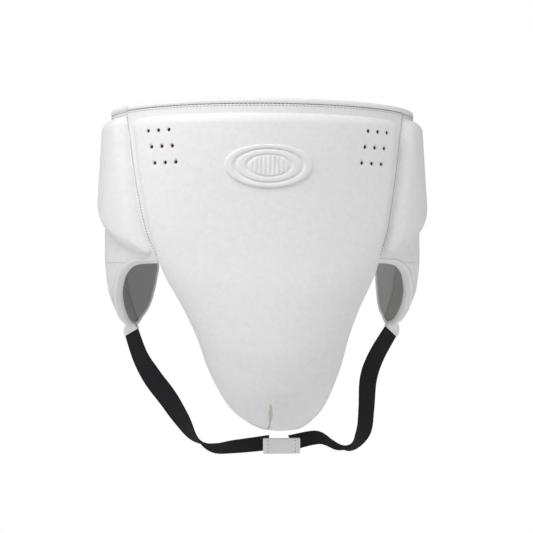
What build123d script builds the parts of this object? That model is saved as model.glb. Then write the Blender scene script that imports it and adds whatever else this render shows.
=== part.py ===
from build123d import *
from math import atan2, cos, hypot, radians, sin, sqrt
import os

# Groin protector, in its worn shape. Millimetres, +Z up, front towards -Y.
# The origin is the centre of the waist opening, in the plane of its top edge.
# Every layer is given by its distance from one body surface, negative towards the wearer.

os.makedirs("parts", exist_ok=True)

# ---- driving dimensions ----
waist_a = 174.0  # half width of the body surface at the waist
waist_b = 119.0  # half depth of the body surface
hip_heights = [0, -60, -110, -150, -205, -240, -262]
hip_flare = [0, 2, 6, 8, 3, -8, -18]  # how far the hips stand out of the waist ellipse

lining_in = -9.0
lining_out = -7.5
gap = 0.2  # between neighbouring layers
foam_gap = 1.2  # between the belly foam and the lining
pad_gap = 2.2  # between the wing's leather and the hip pad
cover_thickness = 1.5
pad_out = 11.0  # outer face of the belly pad
pad_edge_out = 5.0  # the same face where it meets the side seams
cup_cover_out = 6.0  # outer face of the leather over the cup
cup_shell_in, cup_shell_out = -3.5, -0.5
wing_out = 1.7
hip_pad_out = 14.0  # outer face of the hip pad
binding_in, binding_out = -9.8, 3.0
binding_height = 7.0
rim_round = 2.4
band_bottom = -17.0  # lower edge of the flat strip under the binding
edge_binding_width = 6.0

seam_y = -57.0  # the side seams at the waist
seam_gap = 1.6
wing_wrap = {"left": 0.95, "right": 0.75}  # the left wing hangs a little further round than the right
tip_y, tip_z = 18.0, -250.0  # the lobe's lowest point, where the leg strap starts

vent_radius = 1.45
vent_count = 3
vent_pitch_x = 11.0
vent_pitch_z = 17.5
vent_slant = 4.2  # each lower row lies this much nearer the centre
vent_x, vent_z = 108.0, -33.0

badge_width, badge_height = 90.0, 41.0
badge_z = -72.5
badge_thickness = 2.0

strap_tab_length, strap_tab_width, strap_tab_thickness = 30.0, 22.0, 3.0
strap_tab_round, strap_tab_turn = 7.0, 25.0
webbing_width = 25.0
webbing_thickness = 2.0
tab_centre_x, tab_y, tab_z = 17.0, -76.0, -378.0
tab_width, tab_height, tab_thickness = 41.0, 16.0, 5.0

back_band_top, back_band_bottom = -12.0, -67.0
back_band_in, back_band_out = -6.0, -3.5
closure_margin = 6.0  # the closure's pieces are this much shorter than the band is tall
loop_out = -1.7  # face of the loop panel
hook_in = -1.2  # face of the hooks
flap_in, flap_out = 0.5, 2.5
loop_end_x = -88.0
hook_x = (-78.0, -14.0)
flap_x = (-86.0, 30.5)
base_x = (31.0, 62.0)  # the leather end of the right band, where the flap is sewn on
pull_length, pull_margin = 14.0, 14.0

reach = 400.0  # longer than the object, for cutting tools


def finish(part, label):
    part.label = label
    export_step(part, f"parts/{label}.step")


# ---- front panel: curved sections that fan round the bottom of the cup ----
# (centre y, centre z, edge x, edge y, edge z, wrap angle, lean to one side)
front_sections = [
    (-119, -18.5, 151, -59, -18.5, 61, 0),
    (-119, -38, 148.5, -62, -34, 61, 0),
    (-120, -102, 141, -72, -87, 62, 0),
    (-126, -158, 130, -82, -141, 65, 1),
    (-139, -207, 114, -88, -181, 68, 3),
    (-149, -259, 92, -87, -222, 71, 5),
    (-149.5, -287, 80, -84, -250, 73, 6.5),
    (-144, -316, 69, -80, -285, 74, 8),
    (-126, -342, 52, -75, -323, 74, 10.5),
    (-104, -352, 37, -70, -342, 72, 13),
    (-80, -358, 22, -64, -357, 70, 15.5),
]
belly = front_sections[:5]
cup = front_sections[4:]
section_steps = 10
edge_sharpness = 6  # how late a pad's face turns down to its edge


def section_depth(section):
    centre_y, centre_z, edge_x, edge_y, edge_z, wrap, lean = section
    return hypot(edge_y - centre_y, edge_z - centre_z)


def section_plane(section):
    centre_y, centre_z, edge_x, edge_y, edge_z, wrap, lean = section
    depth = section_depth(section)
    back_y = (edge_y - centre_y) / depth
    back_z = (edge_z - centre_z) / depth
    return Plane(origin=(lean, centre_y, centre_z), x_dir=(1, 0, 0), z_dir=(0, back_z, -back_y))


def section_line(section, middle, edge, share):
    """One face of a layer: part of an ellipse, moved out by middle at its centre and by edge at its ends."""
    half_width = section[2]
    end = radians(section[5])
    depth = section_depth(section) / (1 - cos(end))
    points = []
    for step in range(section_steps + 1):
        side = 2 * step / section_steps - 1
        angle = side * share * end
        normal = Vector(depth * sin(angle), half_width * cos(angle) / sin(end)).normalized()
        out = middle + (edge - middle) * abs(side) ** edge_sharpness
        points.append(Vector(half_width * sin(angle) / sin(end), -depth * (1 - cos(angle))) + normal * out)
    return points


def crescent(section, inner, outer, share):
    outside = section_line(section, *outer, share)
    inside = section_line(section, *inner, share)
    with BuildSketch(section_plane(section)) as profile:
        with BuildLine():
            Spline(*outside)
            Line(outside[-1], inside[-1])
            Spline(*inside)
            Line(inside[0], outside[0])
        make_face()
    return profile.sketch


def front_layer(sections, inner, outer, share=1.0):
    """The crescents of one layer. inner and outer are (middle, edge) distances."""
    return [crescent(section, inner, outer, share) for section in sections]


with BuildPart() as front_lining:
    loft(front_layer(front_sections, (lining_in, lining_in), (lining_out, lining_out), 0.95))
finish(front_lining.part, "front_lining")

foam_in = lining_out + foam_gap
foam_out = pad_out - cover_thickness - gap
with BuildPart() as belly_foam:
    loft(front_layer(belly, (foam_in, foam_in), (foam_out, 1.0), 0.94))
finish(belly_foam.part, "belly_foam")

with BuildPart() as belly_cover:
    loft(front_layer(belly, (pad_out - cover_thickness, pad_edge_out - 2.5), (pad_out, pad_edge_out), 0.985))
    with BuildSketch(Plane.XZ.offset(-seam_y)):
        for side in (-1, 1):
            for row in range(vent_count):
                for column in range(vent_count):
                    x = vent_x + column * vent_pitch_x - row * vent_slant
                    with Locations((side * x, vent_z - row * vent_pitch_z)):
                        Circle(vent_radius)
    extrude(amount=reach, mode=Mode.SUBTRACT)
finish(belly_cover.part, "belly_cover")

with BuildPart() as cup_cushion:
    loft(front_layer(cup, (foam_in, foam_in), (cup_shell_in - gap, cup_shell_in - gap), 0.93))
finish(cup_cushion.part, "cup_cushion")

with BuildPart() as cup_shell:
    loft(front_layer(cup, (cup_shell_in, cup_shell_in), (cup_shell_out, cup_shell_out), 0.9))
finish(cup_shell.part, "cup_shell")

cup_foam_out = cup_cover_out - cover_thickness - gap
with BuildPart() as cup_foam:
    loft(front_layer(cup, (cup_shell_out + gap, cup_shell_out + gap), (cup_foam_out, cup_foam_out), 0.93))
finish(cup_foam.part, "cup_foam")

with BuildPart() as cup_cover:
    cup_cover_in = cup_cover_out - cover_thickness
    loft(front_layer(cup, (cup_cover_in, cup_cover_in), (cup_cover_out, cup_cover_out), 0.985))
finish(cup_cover.part, "cup_cover")

badge_in = pad_out + gap
badge_out = badge_in + badge_thickness
with BuildPart() as badge:
    loft(front_layer(belly[:4], (badge_in, badge_in), (badge_out, badge_out), 0.6))
    with BuildSketch(Plane.XZ.offset(-seam_y)):
        with Locations((0, badge_z)):
            Ellipse(badge_width / 2, badge_height / 2)
    extrude(amount=reach, mode=Mode.INTERSECT)
finish(badge.part, "badge")


# ---- bands round the waist ----
def waist_ring(inner, outer, top, bottom):
    with BuildPart() as ring:
        with BuildSketch(Plane.XY.offset(bottom)):
            Ellipse(waist_a + outer, waist_b + outer)
            Ellipse(waist_a + inner, waist_b + inner, mode=Mode.SUBTRACT)
        extrude(amount=top - bottom)
    return ring.part


def window(x_low, x_high, y_low, y_high):
    """A tall block that keeps one stretch of a ring."""
    with BuildPart() as block:
        with BuildSketch(Plane.XY.offset(-reach)):
            with Locations(((x_low + x_high) / 2, (y_low + y_high) / 2)):
                Rectangle(x_high - x_low, y_high - y_low)
        extrude(amount=2 * reach)
    return block.part


def band(inner, outer, top, bottom, stretch):
    """One stretch of a waist ring."""
    with BuildPart() as piece:
        add(waist_ring(inner, outer, top, bottom))
        add(window(*stretch), mode=Mode.INTERSECT)
    return piece.part


front_stretch = (-reach, reach, -reach, seam_y)
with BuildPart() as front_binding:
    add(band(binding_in, binding_out, 0, -binding_height, front_stretch))
    fillet(front_binding.edges().filter_by(GeomType.ELLIPSE).group_by(Axis.Z)[-1], rim_round)
finish(front_binding.part, "front_binding")

with BuildPart() as front_waistband:
    add(band(lining_in, wing_out, -binding_height - gap, band_bottom + gap, front_stretch))
finish(front_waistband.part, "front_waistband")


# ---- hip wings ----
def hip_body(out):
    """Everything inside the hip surface, moved out by a distance."""
    with BuildPart() as body:
        for height, flare in zip(hip_heights, hip_flare):
            with BuildSketch(Plane.XY.offset(height)):
                Ellipse(waist_a + flare + out, waist_b + out)
        loft()
    return body.part


def hip_flare_at(height):
    """The flare at one height, between the two listed heights that it lies between."""
    for top, bottom, above, below in zip(hip_heights, hip_heights[1:], hip_flare, hip_flare[1:]):
        if bottom <= height:
            return above + (below - above) * (height - top) / (bottom - top)
    return hip_flare[-1]


def hip_layer(inner, outer):
    with BuildPart() as layer:
        add(hip_body(outer))
        add(hip_body(inner), mode=Mode.SUBTRACT)
    return layer.part


wing_top = -binding_height - gap
wing_front_y = seam_y + seam_gap


def inset_points(points, distance):
    """A closed outline's points moved inwards, with mitred corners. The outline runs anticlockwise."""
    moved = []
    for i, point in enumerate(points):
        arriving = (Vector(point) - Vector(points[i - 1])).normalized()
        leaving = (Vector(points[(i + 1) % len(points)]) - Vector(point)).normalized()
        inward = Vector(-arriving.Y - leaving.Y, arriving.X + leaving.X) / (1 + arriving.dot(leaving))
        moved.append(Vector(point) + inward * distance)
    return moved


seam_points = [(wing_front_y, wing_top), (-69, -87), (-79, -141), (-85, -177)]
opening_points = [(-80, -171), (-66, -174), (-51, -187), (-38, -204), (-19, -225), (0, -243)]
opening_points += [(tip_y, tip_z)]
rear_points = [(36, -248), (54, -240), (68, -229), (78, -213), (84, -193), (87, -160), (87, wing_top)]


def rear_edge(hand):
    """The rear edge of one wing, nearer the front where the wing wraps less."""
    return [(tip_y + (y - tip_y) * wing_wrap[hand], z) for y, z in rear_points]


def wing_outline(hand, inset):
    """Side view of a wing: the seam, the leg opening's edge, the lobe and the rear edge."""
    points = inset_points(seam_points + opening_points + rear_edge(hand), inset)
    corner = len(seam_points)
    with BuildSketch(Plane.YZ) as outline:
        with BuildLine():
            Spline(*points[:corner])
            Spline(*points[corner - 1:-1])
            Polyline(points[-2], points[-1], points[0])
        make_face()
    return outline.sketch


# (height, front y, rear y) of the hip pad on the hip surface; its lower edge rises to the rear
pad_sections = [
    (-11, -53, 40),
    (-40, -57, 44),
    (-84, -66, 44),
    (-97, -69, 22),
    (-108, -72, 0),
    (-127, -75.5, -24),
    (-147, -79.5, -52),
    (-163, -83, -74),
]
pad_steps = 8


def pad_arc(half_width, front_y, rear_y, out):
    """Points along the hip surface between two depths, moved out along its normal."""
    start = atan2(front_y / waist_b, sqrt(1 - (front_y / waist_b) ** 2))
    end = atan2(rear_y / waist_b, sqrt(1 - (rear_y / waist_b) ** 2))
    points = []
    for step in range(pad_steps + 1):
        angle = start + (end - start) * step / pad_steps
        normal = Vector(waist_b * cos(angle), half_width * sin(angle)).normalized()
        points.append(Vector(half_width * cos(angle), waist_b * sin(angle)) + normal * out)
    return points


def pad_layer(inner, outer, inset):
    """One layer of the right hip pad, pulled in by inset all round its outline."""
    profiles = []
    for height, front_y, rear_y in pad_sections:
        position = (height - pad_sections[0][0]) / (pad_sections[-1][0] - pad_sections[0][0])
        half_width = waist_a + hip_flare_at(height)
        outside = pad_arc(half_width, front_y + inset, rear_y - inset, outer)
        inside = pad_arc(half_width, front_y + inset, rear_y - inset, inner)
        with BuildSketch(Plane.XY.offset(height + inset * (2 * position - 1))) as profile:
            with BuildLine():
                Spline(*outside)
                Line(outside[-1], inside[-1])
                Spline(*inside)
                Line(inside[0], outside[0])
            make_face()
        profiles.append(profile.sketch)
    with BuildPart() as layer:
        loft(profiles)
    return layer.part


def on_side(part, side):
    return part if side > 0 else mirror(part, about=Plane.YZ)


def strap_tab_outline():
    with BuildSketch(Plane.YZ) as outline:
        with Locations(Location((tip_y - 3, tip_z + 1), strap_tab_turn)):
            RectangleRounded(strap_tab_length, strap_tab_width, strap_tab_round)
    return outline.sketch


def side_cut(layer, outline, side):
    """The part of a layer that an outline in the side view keeps."""
    with BuildPart() as piece:
        add(layer)
        extrude(outline, amount=side * reach, mode=Mode.INTERSECT)
    return piece.part


wing_foam_in = lining_out + gap
wing_foam_out = wing_out - cover_thickness - gap
pad_in = wing_out + pad_gap
pad_foam_out = hip_pad_out - cover_thickness - gap

wing_layers = {
    "wing_lining": hip_layer(lining_in, lining_out),
    "wing_foam": hip_layer(wing_foam_in, wing_foam_out),
    "wing_cover": hip_layer(wing_foam_out + gap, wing_out),
}
wing_wall = hip_layer(lining_in, wing_out)
wing_space = hip_layer(2 * lining_in, hip_pad_out)
tab_layer = hip_layer(wing_out + gap, wing_out + strap_tab_thickness)

for side, hand in ((-1, "left"), (1, "right")):
    inside_binding = wing_outline(hand, edge_binding_width)
    for name, layer in wing_layers.items():
        finish(side_cut(layer, inside_binding, side), f"{name}_{hand}")
    finish(on_side(pad_layer(pad_in, pad_foam_out, cover_thickness + gap), side), f"hip_foam_{hand}")

    with BuildPart() as edge_binding:
        add(side_cut(wing_wall, wing_outline(hand, 0), side))
        add(side_cut(wing_space, inside_binding, side), mode=Mode.SUBTRACT)
    finish(edge_binding.part, f"edge_binding_{hand}")

    with BuildPart() as hip_cover:
        add(on_side(pad_layer(pad_in, hip_pad_out, 0), side))
        add(on_side(pad_layer(0, pad_foam_out + gap, cover_thickness), side), mode=Mode.SUBTRACT)
    finish(hip_cover.part, f"hip_cover_{hand}")

    wing_rear_y = rear_edge(hand)[-1][0]
    wing_stretch = (min(0, side * reach), max(0, side * reach), wing_front_y, wing_rear_y)
    with BuildPart() as wing_binding:
        add(band(binding_in, binding_out, 0, -binding_height, wing_stretch))
        fillet(wing_binding.edges().filter_by(GeomType.ELLIPSE).group_by(Axis.Z)[-1], rim_round)
    finish(wing_binding.part, f"wing_binding_{hand}")

    finish(side_cut(tab_layer, strap_tab_outline(), side), f"strap_tab_{hand}")


# ---- back bands and their closure ----
band_overlap_x = 5.0
panel_top = back_band_top - closure_margin
panel_bottom = back_band_bottom + closure_margin

with BuildPart() as back_band_left:
    left_stretch = (-reach, -band_overlap_x, rear_edge("left")[-1][0] + gap, reach)
    add(band(back_band_in, back_band_out, back_band_top, back_band_bottom, left_stretch))
finish(back_band_left.part, "back_band_left")

with BuildPart() as back_band_right:
    right_stretch = (band_overlap_x, reach, rear_edge("right")[-1][0] + gap, reach)
    add(band(back_band_in, back_band_out, back_band_top, back_band_bottom, right_stretch))
finish(back_band_right.part, "back_band_right")

with BuildPart() as loop_panel:
    add(band(back_band_out, loop_out, panel_top, panel_bottom, (loop_end_x, -band_overlap_x, 0, reach)))
finish(loop_panel.part, "loop_panel")

with BuildPart() as closure_base:
    add(band(back_band_out, flap_out, back_band_top, back_band_bottom, (*base_x, 0, reach)))
finish(closure_base.part, "closure_base")

with BuildPart() as hook_patch:
    add(band(hook_in, flap_in, panel_top, panel_bottom, (*hook_x, 0, reach)))
finish(hook_patch.part, "hook_patch")

with BuildPart() as closure_flap:
    add(band(flap_in, flap_out, panel_top, panel_bottom, (*flap_x, 0, reach)))
finish(closure_flap.part, "closure_flap")

with BuildPart() as pull_tab:
    pull_top, pull_bottom = panel_top - pull_margin, panel_bottom + pull_margin
    pull_stretch = (flap_x[0] - pull_length, flap_x[0], 0, reach)
    add(band(flap_in + gap, flap_out - gap, pull_top, pull_bottom, pull_stretch))
finish(pull_tab.part, "pull_tab")


# ---- crotch tab and leg straps ----
with BuildPart() as crotch_tab:
    with BuildSketch(Plane.XZ.offset(-tab_y)):
        with Locations((tab_centre_x, tab_z)):
            RectangleRounded(tab_width, tab_height, 4)
    extrude(amount=-tab_thickness)
finish(crotch_tab.part, "crotch_tab")

# (x, y, z, direction of the webbing's width)
strap_route_right = [
    (150, 16, -263, (0.75, 0.6, -0.2)),
    (136, 11, -285, (0.8, 0.5, -0.2)),
    (125, 3, -312, (0.85, 0.5, 0)),
    (121, -8, -345, (0.8, 0.6, 0)),
    (116, -19, -369, (0.7, 0.6, -0.3)),
    (101, -30, -384, (0.3, 0.85, -0.4)),
    (81, -40, -382, (0, 0.95, 0.2)),
    (60, -49, -372, (0, 0.9, 0.4)),
    (32, -57, -376, (0, 0.85, 0.5)),
]
strap_route_left = [
    (-152, 16, -263, (0.7, -0.7, 0)),
    (-144, 11, -285, (0.75, -0.6, 0.1)),
    (-129, 2, -309, (0.8, -0.4, 0.3)),
    (-111, -9, -331, (0.75, -0.4, 0.5)),
    (-95, -21, -353, (0.6, -0.6, 0.4)),
    (-79, -33, -373, (0.3, -0.85, 0.2)),
    (-58, -43, -383, (0, -0.95, -0.2)),
    (-34, -51, -381, (0, -0.9, -0.4)),
    (2, -57, -376, (0, -0.85, -0.5)),
]


def webbing(route):
    """Flat webbing that turns as it goes from one place to the next."""
    with BuildPart() as strap:
        for i, (x, y, z, across) in enumerate(route):
            before = Vector(*route[max(i - 1, 0)][:3])
            after = Vector(*route[min(i + 1, len(route) - 1)][:3])
            with BuildSketch(Plane(origin=(x, y, z), x_dir=across, z_dir=after - before)):
                Rectangle(webbing_width, webbing_thickness)
        loft()
    return strap.part


finish(webbing(strap_route_left), "leg_strap_left")
finish(webbing(strap_route_right), "leg_strap_right")
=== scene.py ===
import bpy, bmesh, math
import numpy as np
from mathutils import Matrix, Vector


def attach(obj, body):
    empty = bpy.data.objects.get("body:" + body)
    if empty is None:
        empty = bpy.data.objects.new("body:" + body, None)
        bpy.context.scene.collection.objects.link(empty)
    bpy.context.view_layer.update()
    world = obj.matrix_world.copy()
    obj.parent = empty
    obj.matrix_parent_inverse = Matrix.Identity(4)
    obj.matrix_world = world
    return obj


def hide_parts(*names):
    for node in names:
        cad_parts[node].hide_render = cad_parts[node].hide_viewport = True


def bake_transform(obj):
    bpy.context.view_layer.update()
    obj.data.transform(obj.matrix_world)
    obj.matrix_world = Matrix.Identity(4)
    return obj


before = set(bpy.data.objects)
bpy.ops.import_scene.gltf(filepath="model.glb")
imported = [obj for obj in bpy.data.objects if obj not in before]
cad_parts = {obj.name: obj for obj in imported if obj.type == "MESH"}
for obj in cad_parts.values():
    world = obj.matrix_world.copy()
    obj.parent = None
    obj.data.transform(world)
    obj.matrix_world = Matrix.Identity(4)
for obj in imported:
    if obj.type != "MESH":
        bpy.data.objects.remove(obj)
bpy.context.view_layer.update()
mm = 0.001
print("frame loaded", len(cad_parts), "nodes")


def srgb(code):
    # hex colour to the linear values that shaders take
    parts = [int(code[i:i + 2], 16) / 255 for i in (1, 3, 5)]
    return [p / 12.92 if p <= 0.04045 else ((p + 0.055) / 1.055) ** 2.4 for p in parts] + [1.0]


def smoothSteps(table, t):
    # a curve through the rows of a table, at t = 0, 1, 2 ... and between them
    table = np.asarray(table, float)
    t = np.clip(np.asarray(t, float), 0, len(table) - 1)
    i = np.minimum(t.astype(int), len(table) - 2)
    f = (t - i)[..., None]
    p0, p1 = table[np.maximum(i - 1, 0)], table[i]
    p2, p3 = table[i + 1], table[np.minimum(i + 2, len(table) - 1)]
    return p1 + 0.5 * f * (p2 - p0 + f * (2 * p0 - 5 * p1 + 4 * p2 - p3 + f * (3 * (p1 - p2) + p3 - p0)))


def rise(distance, width):
    # 0 at a pad's edge, 1 on its face, round in between
    d = np.clip(distance / width, 0, 1)
    return np.sqrt(1 - (1 - d) ** 2)


def distanceTo(points, line, closed=False):
    # shortest distance from each point to a line of points, all flat
    line = np.asarray(line, float)
    starts = line
    ends = np.roll(line, -1, axis=0)
    if not closed:
        starts, ends = line[:-1], line[1:]
    flat = points.reshape(-1, 2)
    best = np.full(len(flat), 1e9)
    for a, b in zip(starts, ends):
        ab = b - a
        f = np.clip(((flat - a) @ ab) / max(ab @ ab, 1e-12), 0, 1)
        best = np.minimum(best, np.linalg.norm(flat - a - f[:, None] * ab, axis=1))
    return best.reshape(points.shape[:-1])


def ease(x):
    # 0 to 1 with soft ends
    x = np.clip(x, 0, 1)
    return x * x * (3 - 2 * x)


def offsetEllipse(a, b, angle, out):
    # a point of an ellipse, moved out along its normal
    nx, ny = b * np.cos(angle), a * np.sin(angle)
    size = np.hypot(nx, ny)
    return a * np.cos(angle) + out * nx / size, b * np.sin(angle) + out * ny / size


def placed(name, data):
    piece = bpy.data.objects.new(name, data)
    bpy.context.collection.objects.link(piece)
    return piece


def meshPiece(name, verts, faces, material):
    mesh = bpy.data.meshes.new(name)
    mesh.from_pydata([tuple(v) for v in np.asarray(verts) * mm], [], faces)
    bm = bmesh.new()
    bm.from_mesh(mesh)
    bmesh.ops.remove_doubles(bm, verts=bm.verts, dist=1e-6)
    bmesh.ops.recalc_face_normals(bm, faces=bm.faces)
    for face in bm.faces:
        face.smooth = True
    bm.to_mesh(mesh)
    bm.free()
    mesh.materials.append(material)
    return placed(name, mesh)


def gridFaces(rows, columns, first=0, flip=False):
    faces = []
    for r in range(rows - 1):
        for c in range(columns - 1):
            a = first + r * columns + c
            quad = (a, a + 1, a + columns + 1, a + columns)
            faces.append(quad[::-1] if flip else quad)
    return faces


def shellPiece(name, layers, material):
    # closed body between a stack of grids: the first and last are its faces, the others round its rim
    rows, columns, _ = layers[0].shape
    size = rows * columns
    verts = np.concatenate([layers[0].reshape(-1, 3), layers[-1].reshape(-1, 3)])
    faces = gridFaces(rows, columns) + gridFaces(rows, columns, size, True)
    rim = [(0, c) for c in range(columns)] + [(r, columns - 1) for r in range(1, rows)]
    rim += [(rows - 1, c) for c in range(columns - 2, -1, -1)] + [(r, 0) for r in range(rows - 2, 0, -1)]
    rings = [[r * columns + c for r, c in rim]]
    for layer in layers[1:-1]:
        rings.append(list(range(len(verts), len(verts) + len(rim))))
        verts = np.concatenate([verts, [layer[r, c] for r, c in rim]])
    rings.append([size + r * columns + c for r, c in rim])
    for above, below in zip(rings, rings[1:]):
        for i in range(len(rim)):
            j = (i + 1) % len(rim)
            faces.append((above[j], above[i], below[i], below[j]))
    return meshPiece(name, verts, faces, material)


def mirrored(points, side):
    # the right side is modelled; the left is its mirror image
    return points * np.array([side, 1, 1])


# the body surface that every layer lies on, in millimetres
body = {
    "waistA": 174.0, "waistB": 119.0,
    "hipHeights": [20, 0, -60, -110, -150, -205, -240, -262],
    "hipFlare": [-1, 0, 2, 6, 8, 3, -8, -18],
    "liningIn": -9.0, "liningOut": -7.5,
    "rimTop": -7.0, "stripBottom": -17.0,
}

# front panel: centre y, centre z, edge x, edge y, edge z, wrap angle, lean
frontSections = [
    (-119, 0, 153, -56.8, 0, 61, 0),
    (-119, -18.5, 151, -59, -18.5, 61, 0),
    (-119, -38, 148.5, -62, -34, 61, 0),
    (-120, -102, 141, -72, -87, 62, 0),
    (-126, -158, 130, -82, -141, 65, 1),
    (-139, -207, 114, -88, -181, 68, 3),
    (-149, -259, 92, -87, -222, 71, 5),
    (-149.5, -287, 80, -84, -250, 73, 6.5),
    (-144, -316, 69, -80, -285, 74, 8),
    (-126, -342, 52, -75, -323, 74, 10.5),
    (-104, -352, 37, -70, -342, 72, 13),
    (-80, -358, 22, -64, -357, 70, 15.5),
]
lastSection = len(frontSections) - 1


def frontPoints(u, t, out):
    # u runs from -1 at the left edge to 1 at the right, t down through the sections
    v = smoothSteps(frontSections, t)
    cy, cz, ex, ey, ez, wrap, lean = [v[..., i] for i in range(7)]
    depth = np.hypot(ey - cy, ez - cz)
    backY, backZ = (ey - cy) / depth, (ez - cz) / depth
    end = np.radians(wrap)
    angle = u * end
    deep = depth / (1 - np.cos(end))
    nx, ny = deep * np.sin(angle), ex * np.cos(angle) / np.sin(end)
    size = np.hypot(nx, ny)
    x = lean + ex * np.sin(angle) / np.sin(end) + out * nx / size
    local = -deep * (1 - np.cos(angle)) + out * ny / size
    return np.stack([x, cy - local * backY, cz - local * backZ], axis=-1)


waistAngles = np.radians(np.linspace(-110, 110, 881))
waistArc = np.concatenate([[0], np.cumsum(np.hypot(
    np.diff(176 * np.cos(waistAngles)), np.diff(119 * np.sin(waistAngles))))])
waistArc -= np.interp(0, waistAngles, waistArc)


def arcOf(y):
    # how far round the hip a depth y lies, from the side, rear positive
    return np.interp(np.arcsin(np.clip(np.asarray(y, float) / body["waistB"], -1, 1)), waistAngles, waistArc)


def hipPoints(s, z, out):
    angle = np.interp(s, waistArc, waistAngles)
    heights = np.array(body["hipHeights"][::-1], float)
    t = np.interp(z, heights, np.arange(len(heights))[::-1])
    a = body["waistA"] + smoothSteps(np.array(body["hipFlare"])[:, None], t)[..., 0]
    x, y = offsetEllipse(a, body["waistB"], angle, out)
    return np.stack([x, y, z + 0 * s], axis=-1)


def addNode(tree, kind, settings=None, inputs=None, links=None):
    # one node, with its settings, the values of its inputs, and what feeds it
    node = tree.nodes.new(kind)
    for key, value in (settings or {}).items():
        setattr(node, key, value)
    for key, value in (inputs or {}).items():
        node.inputs[key].default_value = value
    for key, source in (links or {}).items():
        tree.links.new(source, node.inputs[key])
    return node


def newMaterial(name, colour, roughness, sheen=0.0, specular=0.5):
    material = bpy.data.materials.new(name)
    material.use_nodes = True
    tree = material.node_tree
    shader = tree.nodes["Principled BSDF"]
    shader.inputs["Base Color"].default_value = srgb(colour)
    shader.inputs["Roughness"].default_value = roughness
    shader.inputs["Sheen Weight"].default_value = sheen
    shader.inputs["Specular IOR Level"].default_value = specular
    return material, tree, shader


def colourMix(tree, shader, low, high, factor):
    mix = addNode(tree, "ShaderNodeMix", {"data_type": "RGBA"}, {"A": srgb(low), "B": srgb(high)},
                  {"Factor": factor})
    tree.links.new(mix.outputs["Result"], shader.inputs["Base Color"])


def bumpFrom(tree, shader, height, strength, depth):
    bump = addNode(tree, "ShaderNodeBump", None, {"Strength": strength, "Distance": depth * mm},
                   {"Height": height})
    tree.links.new(bump.outputs["Normal"], shader.inputs["Normal"])


def pattern(tree, kind, grain, settings=None, **inputs):
    # a texture over the piece itself, its grain in millimetres
    place = addNode(tree, "ShaderNodeTexCoord")
    inputs["Scale"] = 1 / (grain * mm)
    return addNode(tree, f"ShaderNodeTex{kind}", settings, inputs, {"Vector": place.outputs["Object"]})


def microfibre():
    # coated microfibre with a fine pebble: satin, nearly white, faintly mottled
    material, tree, shader = newMaterial("microfibre leather", "#F3F3F3", 0.52, 0.08, 0.42)
    pebble = pattern(tree, "Voronoi", 1.5, {"feature": "SMOOTH_F1"}, Smoothness=0.6)
    # the real pebble is 0.6 mm; 1.5 mm is the finest that shows
    mottle = pattern(tree, "Noise", 5, Detail=4.0)
    spread = addNode(tree, "ShaderNodeMapRange", None, {"From Min": 0.35, "From Max": 0.62},
                     {"Value": mottle.outputs["Fac"]})
    colourMix(tree, shader, "#EFEFEF", "#F3F3F3", spread.outputs["Result"])
    rough = addNode(tree, "ShaderNodeMapRange", None, {"To Min": 0.46, "To Max": 0.6},
                    {"Value": mottle.outputs["Fac"]})
    tree.links.new(rough.outputs["Result"], shader.inputs["Roughness"])
    height = addNode(tree, "ShaderNodeMath", {"operation": "MULTIPLY_ADD"}, {1: 0.6},
                     {0: mottle.outputs["Fac"], 2: pebble.outputs["Distance"]})
    bumpFrom(tree, shader, height.outputs[0], 0.3, 0.16)
    return material


def smoothLeather():
    # the same leather pulled tight over an edge: the pebble is flattened, a little glossier
    material, tree, shader = newMaterial("edge leather", "#F5F5F4", 0.42, 0.05, 0.5)
    grain = pattern(tree, "Noise", 2.2, Detail=5.0)
    colourMix(tree, shader, "#F0F0F0", "#F6F6F6", grain.outputs["Fac"])
    bumpFrom(tree, shader, grain.outputs["Fac"], 0.12, 0.3)
    return material


def lining(name, light, dark, pitch, strength):
    # smooth coated lining cloth, or ribbed knit where the pitch is coarse
    material, tree, shader = newMaterial(name, light, 0.62, 0.15, 0.3)
    weave = pattern(tree, "Noise", 3, Detail=6.0)
    colourMix(tree, shader, dark, light, weave.outputs["Fac"])
    # a wave texture of scale 1 repeats every 0.314 m
    ribs = pattern(tree, "Wave", pitch / 0.314, {"bands_direction": "Y"}, Distortion=0.6)
    bumpFrom(tree, shader, ribs.outputs["Fac"], strength, 0.3)
    return material


def elasticWebbing(name, colour, pitch):
    # woven elastic: ribs run its length and the covered rubber shows as fine cross ridges
    material, tree, shader = newMaterial(name, colour, 0.75, 0.0, 0.2)
    place = addNode(tree, "ShaderNodeTexCoord")
    split = addNode(tree, "ShaderNodeSeparateXYZ", None, None, {"Vector": place.outputs["UV"]})
    across, length = split.outputs["X"], split.outputs["Y"]
    waves = []
    for source, step in ((across, pitch), (length, 0.9)):
        turn = addNode(tree, "ShaderNodeMath", {"operation": "MULTIPLY"}, {1: 2 * math.pi / (step * mm)},
                       {0: source})
        waves.append(addNode(tree, "ShaderNodeMath", {"operation": "SINE"}, None, {0: turn.outputs[0]}))
    height = addNode(tree, "ShaderNodeMath", {"operation": "MULTIPLY_ADD"}, {1: 0.35},
                     {0: waves[1].outputs[0], 2: waves[0].outputs[0]})
    bumpFrom(tree, shader, height.outputs[0], 0.5, 0.3)
    shade = addNode(tree, "ShaderNodeMapRange", None, {"From Min": -1.2, "From Max": 1.2},
                    {"Value": height.outputs[0]})
    colourMix(tree, shader, "#161618", colour, shade.outputs["Result"])
    return material


def pile(name, dark, light, cell):
    # brushed loops or hooks: matt, dark, rough
    material, tree, shader = newMaterial(name, light, 0.9, 0.4, 0.15)
    tufts = pattern(tree, "Voronoi", cell)
    colourMix(tree, shader, dark, light, tufts.outputs["Distance"])
    bumpFrom(tree, shader, tufts.outputs["Distance"], 0.8, 0.6)
    return material


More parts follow.
